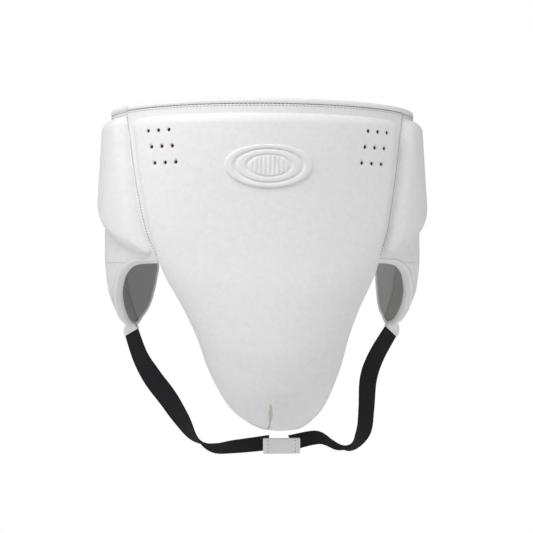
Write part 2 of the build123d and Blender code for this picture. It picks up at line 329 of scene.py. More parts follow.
def foam(name, light, dark):
    # closed-cell foam: matt, with small cells
    material, tree, shader = newMaterial(name, light, 0.85, 0.0, 0.2)
    cells = pattern(tree, "Voronoi", 1.2)
    colourMix(tree, shader, dark, light, cells.outputs["Distance"])
    bumpFrom(tree, shader, cells.outputs["Distance"], 0.5, 0.3)
    return material


def mouldedPlastic():
    # injection moulded polypropylene: slightly translucent white, fine spark texture
    material, tree, shader = newMaterial("moulded polypropylene", "#DADBDA", 0.45, 0.0, 0.5)
    spark = pattern(tree, "Noise", 0.8)
    colourMix(tree, shader, "#CFD0CF", "#DEDFDE", spark.outputs["Fac"])
    bumpFrom(tree, shader, spark.outputs["Fac"], 0.1, 0.1)
    return material


def thread(name, colour):
    # twisted polyester thread
    material, tree, shader = newMaterial(name, colour, 0.5, 0.2, 0.4)
    twist = pattern(tree, "Noise", 0.7)
    colourMix(tree, shader, "#6F6F6F", colour, twist.outputs["Fac"])
    return material


white = microfibre()
edge = smoothLeather()
greyLining = lining("coated lining cloth", "#B2B2B2", "#A9A9A9", 0.9, 0.12)
# a ribbed side panel; its darker grey is partly painted shade of the inward-facing side of the wing
ribbedShadedLining = lining("ribbed side mesh with painted shade", "#A5A4A1", "#939290", 1.6, 0.6)
webbing = elasticWebbing("woven elastic webbing", "#29292C", 1.8)
loopPile = pile("brushed loop pile", "#0E0E0F", "#2A2A2C", 1.1)
hookTape = pile("moulded hook tape", "#0A0A0B", "#232325", 1.4)
impactFoam = foam("orange impact foam", "#D8602C", "#A8401E")
paleFoam = foam("pale cushion foam", "#DCDAD2", "#C4C1B6")
cupPlastic = mouldedPlastic()
greyThread = thread("polyester thread", "#B9B9B9")
# darker grey thread for the real seam and dart stitches, also for the continuous cords that paint the shade
# in the groove under the waist binding
seamAndShadeThread = thread("seam thread and painted shade cord", "#7C7C7C")
print("materials made")


# the front cover: belly pad and cup in one skin
front = {
    "across": 141, "down": 161,
    "padOut": 10.6, "cupOut": 6.0, "stripOut": 1.7,
    "marginSide": 10.0,    # flat leather between the side seam and the pad
    "padRound": 11.0,      # how far in the pad's face turns up from its edge
    "padCorner": 13.0,
    "grooveWidth": 0.9,    # the shadow line left under the waist binding
    "thickness": 1.6,
    "wallWidth": 9.0, "wallInner": -7.3,   # the closed wall round the panel's side edges
    "seamEnd": 5.0,        # the section where the side seams end and the leg openings start
    "dartX": 2.0, "dartDepth": 2.2, "dartWidth": 1.5, "dartTop": 7.9, "dartEnd": 10.6,
}


def frontGrid():
    u = np.sin(np.linspace(-1, 1, front["across"]) * math.pi / 2 * 0.86) / math.sin(math.pi / 2 * 0.86)
    top = (front["grooveWidth"] - body["rimTop"]) / 18.5
    t = np.concatenate([np.linspace(top, 2.2, 46)[:-1], np.linspace(2.2, lastSection, front["down"] - 45)])
    return np.meshgrid(u, t)


def frontHeights(u, t):
    # height of the leather over the body surface, and how far each point lies from the side edge
    base = frontPoints(u, t, 0 * u)
    steps = np.linalg.norm(np.diff(base, axis=1), axis=2)
    along = np.concatenate([np.zeros((len(u), 1)), np.cumsum(steps, axis=1)], axis=1)
    sideDistance = np.minimum(along, along[:, -1:] - along)
    middle = u.shape[1] // 2
    drops = np.linalg.norm(np.diff(base[:, middle], axis=0), axis=1)
    down = np.concatenate([[0], np.cumsum(drops)])[:, None] + 0 * u
    topDistance = down - (body["rimTop"] - body["stripBottom"])
    seam = ease((front["seamEnd"] + 0.3 - t) / 1.2)  # 1 along the side seams, 0 along the openings
    inside = sideDistance - front["marginSide"] * seam
    corner = front["padCorner"]
    cornered = corner - np.hypot(np.maximum(corner - inside, 0), np.maximum(corner - topDistance, 0))
    distance = np.minimum(np.minimum(inside, topDistance), cornered)
    low = front["stripOut"] * seam - 3.5 * (1 - seam)
    cup = ease((t - 3.6) / 2.4)
    high = front["padOut"] + (front["cupOut"] - front["padOut"]) * cup
    width = front["padRound"] + 4 * (1 - seam)
    height = low + (high - low) * rise(distance, width)
    crown = 1.2 * np.clip(distance / 60, 0, 1) * seam  # the pad is a little fuller at its middle
    dart = np.exp(-((base[..., 0] - front["dartX"]) / front["dartWidth"]) ** 2)
    dart *= np.clip((t - front["dartTop"]) / 0.3, 0, 1) * np.clip((front["dartEnd"] - t) / 0.3, 0, 1)
    return height + crown - front["dartDepth"] * dart, sideDistance


def rimLayers(u, t, outer, inner, bulge):
    # the rim's rows, bowed outwards between the outer and the inner face
    layers = [frontPoints(u, t, outer)]
    edgeSide = np.clip((np.abs(u) - 0.999) / 0.001, 0, 1) * np.sign(u)
    step = 0.004
    tangent = frontPoints(u, t, outer) - frontPoints(u - step * np.sign(u), t, outer)
    tangent /= np.maximum(np.linalg.norm(tangent, axis=2, keepdims=True), 1e-9)
    for share in (0.2, 0.5, 0.8):
        layer = frontPoints(u, t, outer + (inner - outer) * share)
        bow = np.abs(edgeSide) * bulge * math.sin(math.pi * share)
        layers.append(layer + tangent * bow[..., None])
    layers.append(frontPoints(u, t, inner))
    return layers


def makeFrontCover():
    u, t = frontGrid()
    outer, sideDistance = frontHeights(u, t)
    atSeam = t < front["seamEnd"]
    inner = np.where(sideDistance < front["wallWidth"], front["wallInner"], outer - front["thickness"])
    inner = np.minimum(outer - 1.2, inner)
    bulge = np.where(atSeam, 0.0, 2.2)
    cover = shellPiece("frontCover", rimLayers(u, t, outer, inner, bulge), white)
    return cover, u, t, outer


def makeBellyFoam(u, t, outer):
    rows = (t[:, 0] > 1.0) & (t[:, 0] < 5.0)
    columns = np.abs(u[0]) < 0.88
    pick = np.ix_(rows, columns)
    face = np.maximum(outer[pick] - front["thickness"] - 2.4, -5.5)
    base = np.full_like(face, -6.3)
    layers = [frontPoints(u[pick], t[pick], height) for height in (face, base)]
    return shellPiece("bellyFoam", layers, impactFoam)


vents = {
    "radius": 2.1, "count": 3, "pitchX": 11.4, "pitchZ": 17.5, "slant": 4.0,
    "x": {-1: 105.0, 1: 108.0}, "z": -33.0, "sides": 14,
}


def cutVents(cover):
    # three rows of three breathing holes each side, punched through the leather onto the foam
    bm = bmesh.new()
    for side in (-1, 1):
        for row in range(vents["count"]):
            for column in range(vents["count"]):
                x = side * (vents["x"][side] + column * vents["pitchX"] - row * vents["slant"])
                z = vents["z"] - row * vents["pitchZ"]
                radius = vents["radius"] * mm
                made = bmesh.ops.create_cone(bm, cap_ends=True, segments=vents["sides"], radius1=radius,
                                             radius2=radius, depth=60 * mm)
                turn = Vector((side * 0.62, -0.78, 0)).to_track_quat("Z", "Y").to_matrix()
                bmesh.ops.rotate(bm, verts=made["verts"], matrix=turn)
                face = Vector((x, -math.sqrt(max(1 - (x / 187) ** 2, 0)) * 128, z)) * mm
                bmesh.ops.translate(bm, verts=made["verts"], vec=face)
    mesh = bpy.data.meshes.new("punch")
    bm.to_mesh(mesh)
    bm.free()
    punch = placed("punch", mesh)
    cut = cover.modifiers.new("vents", "BOOLEAN")
    cut.operation = "DIFFERENCE"
    cut.object = punch
    cut.solver = "EXACT"
    applyModifiers(cover)
    bpy.data.objects.remove(punch)


def applyModifiers(piece):
    graph = bpy.context.evaluated_depsgraph_get()
    fresh = bpy.data.meshes.new_from_object(piece.evaluated_get(graph))
    piece.modifiers.clear()
    old = piece.data
    piece.data = fresh
    bpy.data.meshes.remove(old)


frontCover, frontU, frontT, frontOuter = makeFrontCover()
bellyFoam = makeBellyFoam(frontU, frontT, frontOuter)
cutVents(frontCover)
print("front cover", len(frontCover.data.polygons), "faces")


def makeFrontLining():
    u, t = np.meshgrid(np.linspace(-0.965, 0.965, 91), np.linspace(0.4, lastSection - 0.06, 121))
    inner = body["liningIn"] + 1 - np.clip((1 - np.abs(u)) * 6, 0, 1)
    outer = np.full_like(u, body["liningOut"])
    return shellPiece("frontLining", [frontPoints(u, t, inner), frontPoints(u, t, outer)], greyLining)


frontLining = makeFrontLining()

# the waist binding: a rolled edge
binding = {"inner": -9.8, "outer": 2.6, "halfHeight": 3.5, "turns": 20}


def rollProfile():
    # out and height of the roll's section, flat inside, round on top, tucked in below
    half = (binding["outer"] - binding["inner"]) / 2
    middle = (binding["outer"] + binding["inner"]) / 2
    points = []
    for i in range(binding["turns"]):
        angle = 2 * math.pi * i / binding["turns"]
        c, s = math.cos(angle), math.sin(angle)
        out = middle + half * abs(c) ** 0.6 * (1 if c > 0 else -1)
        height = binding["halfHeight"] * (abs(s) ** 0.75 * (1 if s > 0 else -1) - 1)
        points.append((out, height))
    return points


def sweepPiece(name, rings, material):
    # rings of points, one closed section each, with both ends capped
    count = len(rings[0])
    verts = np.concatenate(rings)
    faces = []
    for r in range(len(rings) - 1):
        for i in range(count):
            j = (i + 1) % count
            faces.append((r * count + i, r * count + j, (r + 1) * count + j, (r + 1) * count + i))
    faces.append(tuple(range(count))[::-1])
    faces.append(tuple((len(rings) - 1) * count + i for i in range(count)))
    piece = meshPiece(name, verts, faces, material)
    for face in piece.data.polygons:
        if face.loop_total > 4:
            face.use_smooth = False
    return piece


def makeBinding(name, start, end, side):
    profile = rollProfile()
    rings = []
    for s in np.linspace(start, end, 90):
        ring = np.array([hipPoints(np.array(s), np.array(float(height)), out) for out, height in profile])
        rings.append(mirrored(ring, side))
    return sweepPiece(name, rings, edge)


def makeFrontBinding():
    # the front's share of the roll, across the centre between the two side seams
    profile = rollProfile()
    rings = []
    for angle in np.radians(np.linspace(-90 - 61.2, -90 + 61.2, 121)):
        rings.append(np.array([(*offsetEllipse(body["waistA"], body["waistB"], angle, out), height)
                               for out, height in profile]))
    return sweepPiece("frontBinding", rings, edge)


frontBinding = makeFrontBinding()

# the hip wings: depth and height of their edges on the hip surface
wing = {
    "seam": [(-57.4, -7), (-71.5, -87), (-80, -141), (-86, -174.5)],
    "opening": [(-86, -174.5), (-79, -174.7), (-67, -177), (-52, -188), (-39, -204), (-20, -225), (0, -241),
                (17, -250)],
    "rear": [(17, -250), (36, -248), (54, -240), (68, -229), (78, -213), (84, -193), (87, -160), (87, -7)],
    "wrap": {"left": 0.95, "right": 0.75},   # how far round the hips each wing comes
    "out": 1.7, "inner": -7.3, "rimRound": 9.0, "rimDrop": 3.2,
    "crease": [(-54, -156), (-44, -168), (-33, -183), (-22, -199)], "creaseDepth": 2.2, "creaseWidth": 4.5,
    "across": 71,
    "drawIn": 32.0, "drawEnd": (-212, 38),   # how far the pull of the seam reaches back, and down
}


def densify(points, steps=14):
    count = len(points) - 1
    return smoothSteps(points, np.linspace(0, count, count * steps + 1))


def flatOutline(hand):
    # the wing's edges on the hip surface: down the seam and the opening, and back up the rear
    tip = wing["rear"][0][0]
    rear = [(tip + (y - tip) * wing["wrap"][hand], z) for y, z in wing["rear"]]
    lines = [densify(points) for points in (wing["seam"], wing["opening"], rear)]
    seam, opening, rear = [np.column_stack([arcOf(line[:, 0]), line[:, 1]]) for line in lines]
    return np.concatenate([seam, opening[1:]]), rear, np.concatenate([opening, rear[1:]])


seamLine = flatOutline("right")[0]
seamEdge = np.array([(row[2], row[3], row[4]) for row in frontSections])


def wingPoints(s, z, out, side):
    # the hip surface of one side, drawn in along the seam to meet the front panel's edge
    s, z = np.broadcast_arrays(np.asarray(s, float), np.asarray(z, float))
    high = np.maximum(z, wing["seam"][-1][1])
    rows = np.interp(-high, -seamEdge[:, 2], np.arange(len(seamEdge)))
    edgeS = np.interp(-high, -seamLine[:, 1], seamLine[:, 0])
    edgeOfFront = mirrored(frontPoints(side * np.ones_like(high), rows, 0 * high), side)
    meet = edgeOfFront - hipPoints(edgeS, high, 0 * high)
    low, span = wing["drawEnd"]
    share = np.clip(1 - (s - edgeS) / wing["drawIn"], 0, 1) ** 2 * ease((z - low) / span)
    return mirrored(hipPoints(s, z, out) + meet * share[..., None] * np.array([1, 1, 0]), side)


def wingGrid(hand):
    frontEdge, rear, _ = flatOutline(hand)
    bands = [np.linspace(-7, -166, 48)[:-1], np.linspace(-166, -190, 30)[:-1], np.linspace(-190, -249.9, 36)]
    z = np.concatenate(bands)
    sFront = np.interp(-z, -frontEdge[:, 1], frontEdge[:, 0])
    sRear = np.interp(-z, -rear[::-1, 1], rear[::-1, 0])
    f = 0.5 - 0.5 * np.cos(np.linspace(0, math.pi, wing["across"]))
    f = 0.5 * f + 0.5 * np.linspace(0, 1, wing["across"])
    s = sFront[:, None] + (sRear - sFront)[:, None] * f[None]
    return s, z[:, None] + 0 * s


def wingHeights(s, z, rimLine):
    flat = np.stack([s, z], axis=-1)
    rim = distanceTo(flat, rimLine)
    crease = np.column_stack([arcOf([p[0] for p in wing["crease"]]), [p[1] for p in wing["crease"]]])
    dent = wing["creaseDepth"] * np.exp(-(distanceTo(flat, crease) / wing["creaseWidth"]) ** 2)
    puff = 1.5 * np.clip((rim - 4) / 12, 0, 1) * np.clip((-150 - z) / 25, 0, 1)
    return wing["out"] - wing["rimDrop"] * (1 - rise(rim, wing["rimRound"])) - dent + puff, rim


def makeWing(hand, side):
    s, z = wingGrid(hand)
    outer, rim = wingHeights(s, z, flatOutline(hand)[2])
    inner = wing["inner"] + 2.2 * (1 - rise(rim, 5.0))
    steps = [outer, 0.75 * outer + 0.25 * inner, 0.25 * outer + 0.75 * inner, inner]
    layers = [wingPoints(s, z, height, side) for height in steps]
    return shellPiece(f"wingCover_{hand}", layers, white)


lobeLining = {"fold": 34.0, "inset": 4.0}


def makeWingLining(hand, side):
    # ribbed mesh at the side, its darker grey partly painted shade of the inward-facing side, smooth lining
    # behind the fold
    s, z = wingGrid(hand)
    keep = (z[:, 0] < -9) & (z[:, 0] > -244)
    s, z = s[keep], z[keep]
    middle = (s[:, :1] + s[:, -1:]) / 2
    half = (s[:, -1:] - s[:, :1]) / 2
    s = middle + (s - middle) * np.maximum(1 - lobeLining["inset"] / half, 0.1)
    fold = arcOf(lobeLining["fold"])
    groove = 1.1 * np.exp(-((s - fold) / 2.0) ** 2)
    rim = distanceTo(np.stack([s, z], axis=-1), flatOutline(hand)[2])
    face = body["liningIn"] - 0.6 * rise(rim - lobeLining["inset"], 8) + groove
    layers = [wingPoints(s, z, height, side) for height in (face, np.full_like(s, body["liningOut"] + 0.3))]
    piece = shellPiece(f"wingLining_{hand}", layers, greyLining)
    piece.data.materials.append(ribbedShadedLining)
    foldY = lobeLining["fold"] * mm
    for face in piece.data.polygons:
        if face.center.y < foldY and face.center.z < -0.1:
            face.material_index = 1
    return piece


# distance in from the edge, and height over the hip surface
edgeStrip = {"profile": [
    (4.2, 2.0), (2.2, 1.9), (0.4, 0.4), (-0.7, -2.6), (-0.7, -5.2), (0.4, -8.0), (2.4, -9.4), (4.6, -9.6),
    (4.4, -8.6), (2.2, -7.6), (1.2, -3.6), (2.2, 0.3), (4.0, 1.2)]}


def makeEdgeBinding(hand, side):
    line = flatOutline(hand)[2][::2]
    before, after = np.roll(line, 1, axis=0), np.roll(line, -1, axis=0)
    before[0], after[-1] = line[0], line[-1]
    along = after - before
    along /= np.linalg.norm(along, axis=1, keepdims=True)
    inward = np.column_stack([-along[:, 1], along[:, 0]])
    rings = []
    for point, normal in zip(line, inward):
        drop = wing["out"] - wing["rimDrop"]
        ring = []
        for inset, out in edgeStrip["profile"]:
            place = point + normal * inset
            lift = (drop if out > -4 else 0) * max(0, 1 - inset / 4)
            ring.append(wingPoints(place[0], place[1], out + lift, side))
        rings.append(np.array(ring))
    return sweepPiece(f"edgeBinding_{hand}", rings, edge)


pad = {
    "sections": [(-11.5, -56, 38), (-40, -61, 44), (-84, -69, 44), (-97, -71, 24), (-108, -73, 2),
                 (-127, -76, -22), (-147, -79.5, -50), (-160, -82, -69), (-167, -84, -79)],
    "out": 12.6, "round": 12.0, "corner": 10.0, "across": 41, "down": 57,
    "pressure": 4.0, "cap": 5.0,
}


def padOutline():
    table = densify([(z, a, b) for z, a, b in pad["sections"]], 10)
    frontLine = np.column_stack([arcOf(table[:, 1]), table[:, 0]])
    rearLine = np.column_stack([arcOf(table[:, 2]), table[:, 0]])
    return frontLine, rearLine


padFront, padRear = padOutline()


def hipHeight(point):
    # distance of a point from the hip surface, in millimetres
    x, y, z = abs(point.x) / mm, point.y / mm, point.z / mm
    heights = np.array(body["hipHeights"][::-1], float)
    flare = np.interp(z, heights, np.array(body["hipFlare"][::-1], float))
    a, b = body["waistA"] + flare, body["waistB"]
    angle = math.atan2(y / b, x / a)
    nx, ny = b * math.cos(angle), a * math.sin(angle)
    size = math.hypot(nx, ny)
    return ((x - a * math.cos(angle)) * nx + (y - b * math.sin(angle)) * ny) / size


def inflate(piece, pressure, cap):
    # fill a pad like a cushion: cloth under pressure, held where it lies on the wing
    start = [v.co.copy() for v in piece.data.vertices]
    held = piece.vertex_groups.new(name="held")
    held.add([i for i, co in enumerate(start) if hipHeight(co) < 3.4], 1.0, "REPLACE")
    cloth = piece.modifiers.new("leather", "CLOTH")
    cloth.settings.use_pressure = True
    cloth.settings.uniform_pressure_force = pressure
    cloth.settings.vertex_group_mass = "held"
    cloth.settings.tension_stiffness = 25
    cloth.settings.compression_stiffness = 25
    cloth.settings.effector_weights.gravity = 0
    scene = bpy.context.scene
    for step in range(1, 21):
        scene.frame_set(step)
    applyModifiers(piece)
    scene.frame_set(1)
    for vertex, before in zip(piece.data.vertices, start):
        move = vertex.co - before
        if move.length > cap * mm:
            vertex.co = before + move.normalized() * cap * mm
    piece.vertex_groups.clear()
    return finishPad(piece)


def finishPad(piece):
    relax = piece.modifiers.new("relax", "SMOOTH")
    relax.factor, relax.iterations = 0.5, 2
    finer = piece.modifiers.new("finer", "SUBSURF")
    finer.levels = finer.render_levels = 1
    applyModifiers(piece)
    piece.data.polygons.foreach_set("use_smooth", [True] * len(piece.data.polygons))
    return piece


def makeHipPad(hand, side):
    # rows from the pad's top to its low front corner, with the top corners rounded
    z = np.linspace(padFront[0, 1], padFront[-1, 1], pad["down"])
    sFront = np.interp(-z, -padFront[:, 1], padFront[:, 0])
    sRear = np.interp(-z, -padRear[:, 1], padRear[:, 0])
    fromTop = padFront[0, 1] - z
    fromBottom = z - padFront[-1, 1]
    r = pad["corner"]
    pull = r - np.sqrt(r * r - np.clip(r - fromTop, 0, r) ** 2)
    pull += 0.5 * (r - np.sqrt(r * r - np.clip(r - fromBottom, 0, r) ** 2))
    half = (sRear - sFront) / 2
    pull = np.minimum(pull, half * 0.95)
    f = np.linspace(0, 1, pad["across"])
    s = (sFront + pull)[:, None] + (sRear - sFront - 2 * pull)[:, None] * f[None]
    zz = z[:, None] + 0 * s
    outline = np.concatenate([np.column_stack([sFront + pull, z]), np.column_stack([sRear - pull, z])[::-1]])
    distance = distanceTo(np.stack([s, zz], axis=-1), outline, closed=True)
    height = wing["out"] + (pad["out"] - wing["out"]) * rise(distance, pad["round"])
    height += np.clip(distance / 45, 0, 1)
    layers = [wingPoints(s, zz, h, side) for h in (height, np.full_like(s, wing["out"] - 1.0))]
    return inflate(shellPiece(f"hipPad_{hand}", layers, white), pad["pressure"], pad["cap"])


wings = {}
for hand, side in (("left", -1), ("right", 1)):
    wings[hand] = {
        "cover": makeWing(hand, side),
        "lining": makeWingLining(hand, side),
        "edge": makeEdgeBinding(hand, side),
        "pad": makeHipPad(hand, side),
        "binding": makeBinding(f"wingBinding_{hand}", arcOf(-57.3), flatOutline(hand)[1][-1, 0], side),
    }
print("wings made")


def ribbonPiece(name, route, width, thickness, material, steps=10, corners=(0, 0)):
    # route rows: x, y, z, then the direction of the width; corners are the radii at its two ends
    last = len(route) - 1
    places = np.linspace(0, last, last * steps + 1)
    ends = 0.5 - 0.5 * np.cos(np.linspace(0, math.pi / 2, 9))
    if corners[0]:
        places = np.concatenate([ends * 0.5, places[places > 0.5]])
    if corners[1]:
        places = np.concatenate([places[places < last - 0.5], last - 0.5 * ends[::-1]])
    table = smoothSteps(route, places)
    centre, across = table[:, :3], table[:, 3:6]
    along = np.gradient(centre, axis=0)
    along /= np.linalg.norm(along, axis=1, keepdims=True)
    across = across - (across * along).sum(1, keepdims=True) * along
    across /= np.linalg.norm(across, axis=1, keepdims=True)
    up = np.cross(along, across)
    lengthSoFar = np.concatenate([[0], np.cumsum(np.linalg.norm(np.diff(centre, axis=0), axis=1))])
    half, thick = width / 2, thickness / 2
    narrow = np.ones(len(centre))
    for radius, run in ((corners[0], lengthSoFar), (corners[1], lengthSoFar[-1] - lengthSoFar)):
        if radius:
            short = np.maximum(radius - run, 0)
            narrow = np.minimum(narrow, 1 - (radius - np.sqrt(radius ** 2 - short ** 2)) / half)
    section = [(-half, 0.3), (-half + 0.6, 1)] + [(x, 1) for x in np.linspace(-half + 2, half - 2, 9)]
    section += [(half - 0.6, 1), (half, 0.3)]
    section += [(x, -y) for x, y in section[::-1]]
    rings = []
    for i in range(len(centre)):
        rings.append(np.array([centre[i] + across[i] * x * narrow[i] + up[i] * y * thick
                               for x, y in section]))
    piece = sweepPiece(name, rings, material)
    layer = piece.data.uv_layers.new(name="weave")
    count = len(section)
    place = {}
    for i in range(len(centre)):
        for j, (x, _) in enumerate(section):
            place[i * count + j] = (x * narrow[i] * mm, lengthSoFar[i] * mm)
    for loop in piece.data.loops:
        layer.data[loop.index].uv = place.get(loop.vertex_index, (0, 0))
    return piece, lengthSoFar[-1]


straps = {
    "width": 25.0, "thickness": 1.9, "tabWidth": 26.5, "tabThickness": 3.6, "tabCorners": (12.5, 2.0),
    "right": [
        (150, 16, -263, 0.75, 0.6, -0.2), (136, 11, -285, 0.8, 0.5, -0.2), (125, 3, -312, 0.85, 0.5, 0),
        (121, -8, -345, 0.8, 0.6, 0), (116, -19, -369, 0.7, 0.6, -0.3), (101, -30, -384, 0.3, 0.85, -0.4),
        (81, -40, -382, 0, 0.95, 0.2), (60, -49, -372, 0, 0.9, 0.4), (30, -57, -376, 0, 0.85, 0.5)],
    "left": [
        (-152, 16, -263, 0.7, -0.7, 0), (-144, 11, -285, 0.75, -0.6, 0.1), (-129, 2, -309, 0.8, -0.4, 0.3),
        (-111, -9, -331, 0.75, -0.4, 0.5), (-95, -21, -353, 0.6, -0.6, 0.4),
        (-79, -33, -373, 0.3, -0.85, 0.2),
        (-58, -43, -383, 0, -0.95, -0.2), (-34, -51, -381, 0, -0.9, -0.4), (4, -57, -376, 0, -0.85, -0.5)],
}
strapPieces, tabPieces = {}, {}
for hand in ("left", "right"):
    first = np.array(straps[hand][0], float)
    toward = first[:3] - np.array(straps[hand][1][:3], float)
    route = [tuple(first[:3] + toward * 0.5) + tuple(first[3:])] + straps[hand][1:]
    strapPieces[hand], strapLength = ribbonPiece(
        f"legStrap_{hand}", route, straps["width"], straps["thickness"], webbing)
    print("leg strap", hand, round(strapLength), "mm")
    tab = [tuple(first[:3] + toward * share) + tuple(first[3:]) for share in (0.78, 0.6, 0.45, 0.28)]
    tabPieces[hand], _ = ribbonPiece(
        f"strapTab_{hand}", tab, straps["tabWidth"], straps["tabThickness"], edge,
        corners=straps["tabCorners"])


# the back bands and the closure
closure = {
    "middle": -39.5, "bandWidth": 55.0, "panelWidth": 43.0, "bandOut": -4.75, "bandThickness": 2.4,
    "gapX": 5.0, "loopX": (-88, -5), "hookX": (-78, -14), "flapX": (-86, 30.5), "baseX": (31, 62),
    "pullX": (-100, -84),
}


def waistRoute(start, end, out, count):
    # along the back of the waist from one x to another, at a distance from the body surface
    a, b = body["waistA"], body["waistB"]
    angles = np.linspace(math.acos(start / a), math.acos(end / a), count)
    return [(*offsetEllipse(a, b, angle, out), closure["middle"], 0, 0, 1) for angle in angles]


def bandStart(y):
    # x where a band leaves its wing's rear edge
    return body["waistA"] * math.sqrt(1 - (y / body["waistB"]) ** 2)


def rearY(hand):
    tip = wing["rear"][0][0]
    return tip + (wing["rear"][-1][0] - tip) * wing["wrap"][hand]


bandSize = (closure["bandOut"], closure["bandWidth"], closure["bandThickness"])
panel = closure["panelWidth"]
backPieces = {}
# name, body, node, first x, last x, (height over the body, width, thickness), material, end corners, slot
for name, rider, node, start, end, (out, width, thick), material, corners, slot in (
        ("backBand_left", "wing_left", "back_band_left", -bandStart(rearY("left")) - 2, -closure["gapX"],
         bandSize, webbing, (0, 0), "black_elastic"),
        ("backBand_right", "wing_right", "back_band_right", bandStart(rearY("right")) + 2, closure["gapX"],
         bandSize, webbing, (0, 0), "black_elastic"),
        ("loopPanel", "wing_left", "loop_panel", *closure["loopX"], (-2.6, panel, 1.8), loopPile, (3, 3),
         "black_loop"),
        ("closureBase", "wing_right", "closure_base", *closure["baseX"][::-1],
         (-0.5, closure["bandWidth"], 5.8), edge, (2, 2), "binding_leather"),
        ("hookPatch", "closure", "hook_patch", *closure["hookX"], (-0.35, panel - 3, 1.6), hookTape, (5, 2),
         "black_hook"),
        ("closureFlap", "closure", "closure_flap", *closure["flapX"], (1.5, panel, 2.0), white, (12, 0),
         "white_microfibre"),
        ("pullTab", "closure", "pull_tab", *closure["pullX"], (1.5, 15, 1.6), webbing, (5, 0),
         "black_webbing")):
    route = waistRoute(start, end, out, 12)
    piece, length = ribbonPiece(name, route, width, thick, material, steps=6, corners=corners)
    backPieces[name] = (piece, rider, node, slot)
    print(name, round(length), "mm")

# the tab that holds both leg straps
crotch = {"x": 17.0, "y": -74.0, "z": -377.0, "width": 41.0, "height": 17.0, "thickness": 5.0}


def roundedBlock(name, centre, size, radius, material):
    bm = bmesh.new()
    bmesh.ops.create_cube(bm, size=1)
    bmesh.ops.scale(bm, vec=Vector(size) * mm, verts=bm.verts)
    bmesh.ops.subdivide_edges(bm, edges=bm.edges, cuts=2, use_grid_fill=True)
    corners = [e for e in bm.edges if e.calc_face_angle(0) > 1]
    bmesh.ops.bevel(bm, geom=corners, offset=radius * mm, segments=4, affect="EDGES", profile=0.6)
    bmesh.ops.translate(bm, vec=Vector(centre) * mm, verts=bm.verts)
    for face in bm.faces:
        face.smooth = True
    mesh = bpy.data.meshes.new(name)
    bm.to_mesh(mesh)
    bm.free()
    mesh.materials.append(material)
    return placed(name, mesh)


crotchTab = roundedBlock("crotchTab", (crotch["x"], crotch["y"], crotch["z"]),
                         (crotch["width"], crotch["thickness"], crotch["height"]), 1.6, edge)

# the badge: a plain raised oval
badge = {"width": 90.0, "height": 41.0, "z": -72.5, "step": 2.1, "rings": 44, "spokes": 180, "reed": 4.5}


def makeBadge():
    verts, faces = [], []
    def place(x, z, out):
        # nearest place on the front panel for a point of the badge, seen from the front
        t = 3 + (z + 102) / -56 if z < -102 else 2 + (-38 - z) / 64
        section = smoothSteps(frontSections, np.array(t))
        end = math.radians(section[5])
        u = math.asin(np.clip(x * math.sin(end) / section[2], -1, 1)) / end
        return frontPoints(np.array(u), np.array(t), np.array(out))
    base = front["padOut"] + 0.6
    for ring in range(badge["rings"] + 1):
        share = 1 - ring / badge["rings"]
        edgeIn = (1 - share) * badge["height"] / 2
        border = badge["step"] * rise(np.array(edgeIn), 1.4) - 1.9 * math.exp(-((edgeIn - 4.9) / 0.9) ** 2)
        border -= 1.5 * math.exp(-((edgeIn - 10.5) / 0.8) ** 2)
        inside = min(max((edgeIn - 11.5) / 1.5, 0), 1)
        for spoke in range(badge["spokes"]):
            angle = 2 * math.pi * spoke / badge["spokes"]
            x = share * badge["width"] / 2 * math.cos(angle)
            z = badge["z"] + share * badge["height"] / 2 * math.sin(angle)
            reed = 0.55 * inside * math.cos(2 * math.pi * x / badge["reed"])
            verts.append(place(x, z, base + float(border) + reed))
    count = badge["spokes"]
    for ring in range(badge["rings"]):
        for i in range(count):
            j = (i + 1) % count
            faces.append((ring * count + i, ring * count + j, (ring + 1) * count + j, (ring + 1) * count + i))
    lower = len(verts)
    for spoke in range(count):
        angle = 2 * math.pi * spoke / count
        verts.append(place(badge["width"] / 2 * math.cos(angle),
                           badge["z"] + badge["height"] / 2 * math.sin(angle), base - 1.2))
    for i in range(count):
        j = (i + 1) % count
        faces.append((i, lower + i, lower + j, j))
    faces.append(tuple(range(lower, lower + count)))
    return meshPiece("badge", verts, faces, white)


badgePiece = makeBadge()
print("straps, tab and badge made")

stitch = {"Stitch Length": 2.6, "Gap": 1.3, "Radius": 0.34}


